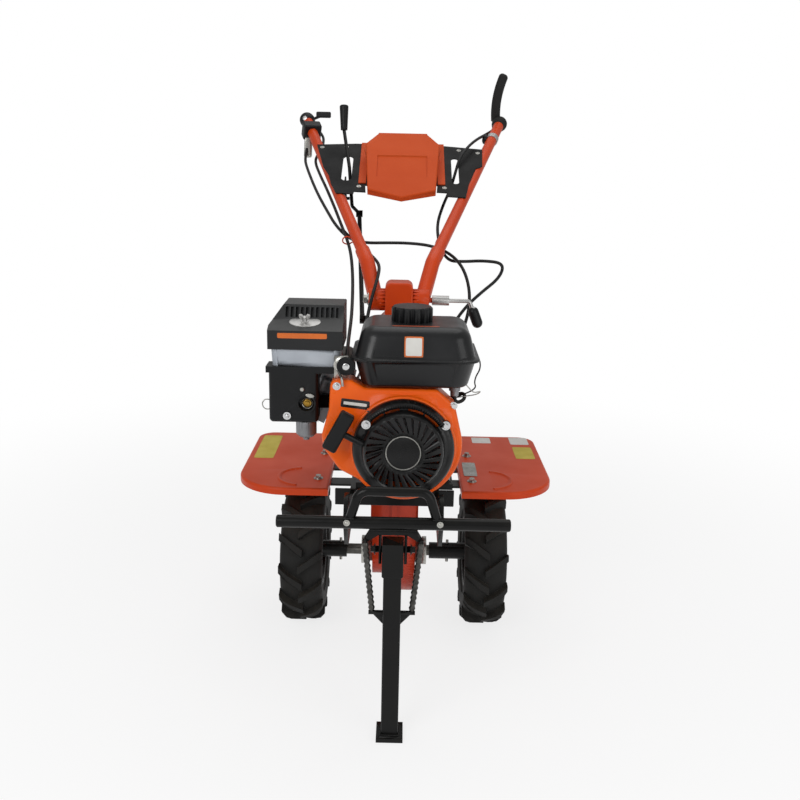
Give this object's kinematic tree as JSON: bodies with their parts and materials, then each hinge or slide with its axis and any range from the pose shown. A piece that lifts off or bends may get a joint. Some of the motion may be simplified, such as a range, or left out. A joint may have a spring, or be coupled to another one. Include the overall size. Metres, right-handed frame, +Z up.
{
  "type": "power tiller",
  "caption": "Walk-behind power tiller with a small petrol engine, lug wheels on one axle, fenders, a front parking stand and a tilting handlebar.",
  "frame": {"origin": "on the ground under the middle of the outline", "axes": "+Z up, the machine faces -Y with the handlebar towards +Y, the axle along X"},
  "size_m": [0.69, 1.3497, 1.2829],
  "materials": {
    "tyre_rubber": "moulded lug rubber",
    "grip_rubber": "moulded rubber",
    "orange_paint": "orange gloss paint",
    "black_paint": "black satin paint",
    "cast_aluminium": "sand-cast aluminium",
    "zinc_steel": "zinc plated steel",
    "chrome_steel": "chromed",
    "black_plastic": "moulded black plastic",
    "grey_clear_plastic": "smoky clear moulding",
    "cable_sheath": "extruded black sheath"
  },
  "bodies": {
    "frame": {"gearbox_case": "orange_paint", "axle_caps": "zinc_steel", "crankcase": "cast_aluminium", "cylinder": "cast_aluminium", "fan_shroud": "orange_paint", "recoil_cover": "black_plastic", "starter_grip": "black_plastic", "fuel_tank": "black_paint", "fuel_cap": "black_plastic", "air_cleaner_cover": "black_plastic", "air_cleaner_cup": "grey_clear_plastic", "intake_box": "black_plastic", "carburettor": "cast_aluminium", "muffler": "black_paint", "governor_control": "zinc_steel", "engine_bed": "black_paint", "bumper_bar": "black_paint", "bumper_hoop": "black_paint", "stand_bracket": "black_paint", "stand_springs": "zinc_steel", "fender_stays": "black_paint", "handlebar_seat": "orange_paint", "rear_hitch": "black_paint", "throttle_cable": "cable_sheath", "reverse_cable": "cable_sheath", "clutch_cable": "cable_sheath", "stop_wire": "cable_sheath", "fender_left": "orange_paint", "fender_right": "orange_paint"},
    "wheels": {"hex_axle": "zinc_steel", "tyre_left": "tyre_rubber", "tyre_right": "tyre_rubber", "rim_left": "black_paint", "rim_right": "black_paint"},
    "stand": {"stand_leg": "black_paint"},
    "handlebar": {"handle_tube_left": "orange_paint", "handle_tube_right": "orange_paint", "grip_left": "grip_rubber", "grip_right": "grip_rubber", "control_panel": "black_paint", "dash_cover": "orange_paint", "throttle_control": "black_plastic", "clutch_lever": "black_plastic", "reverse_lever": "zinc_steel", "shift_lever": "black_paint", "lock_handle": "chrome_steel"}
  },
  "joints": [
    {"name": "drive_axle", "type": "hinge", "parent": "frame", "child": "wheels", "pos_m": [0, -0.1755, 0.163], "axis": [1, 0, 0], "continuous": true},
    {"name": "stand_fold", "type": "hinge", "parent": "frame", "child": "stand", "pos_m": [0, -0.6545, 0.381], "axis": [-1, 0, 0], "range_deg": [0, 95], "deforming": ["stand_springs"]},
    {"name": "handlebar_tilt", "type": "hinge", "parent": "frame", "child": "handlebar", "pos_m": [0, -0.1155, 0.742], "axis": [1, 0, 0], "range_deg": [-15, 20], "deforming": ["throttle_cable", "reverse_cable", "clutch_cable", "stop_wire"]}
  ]
}
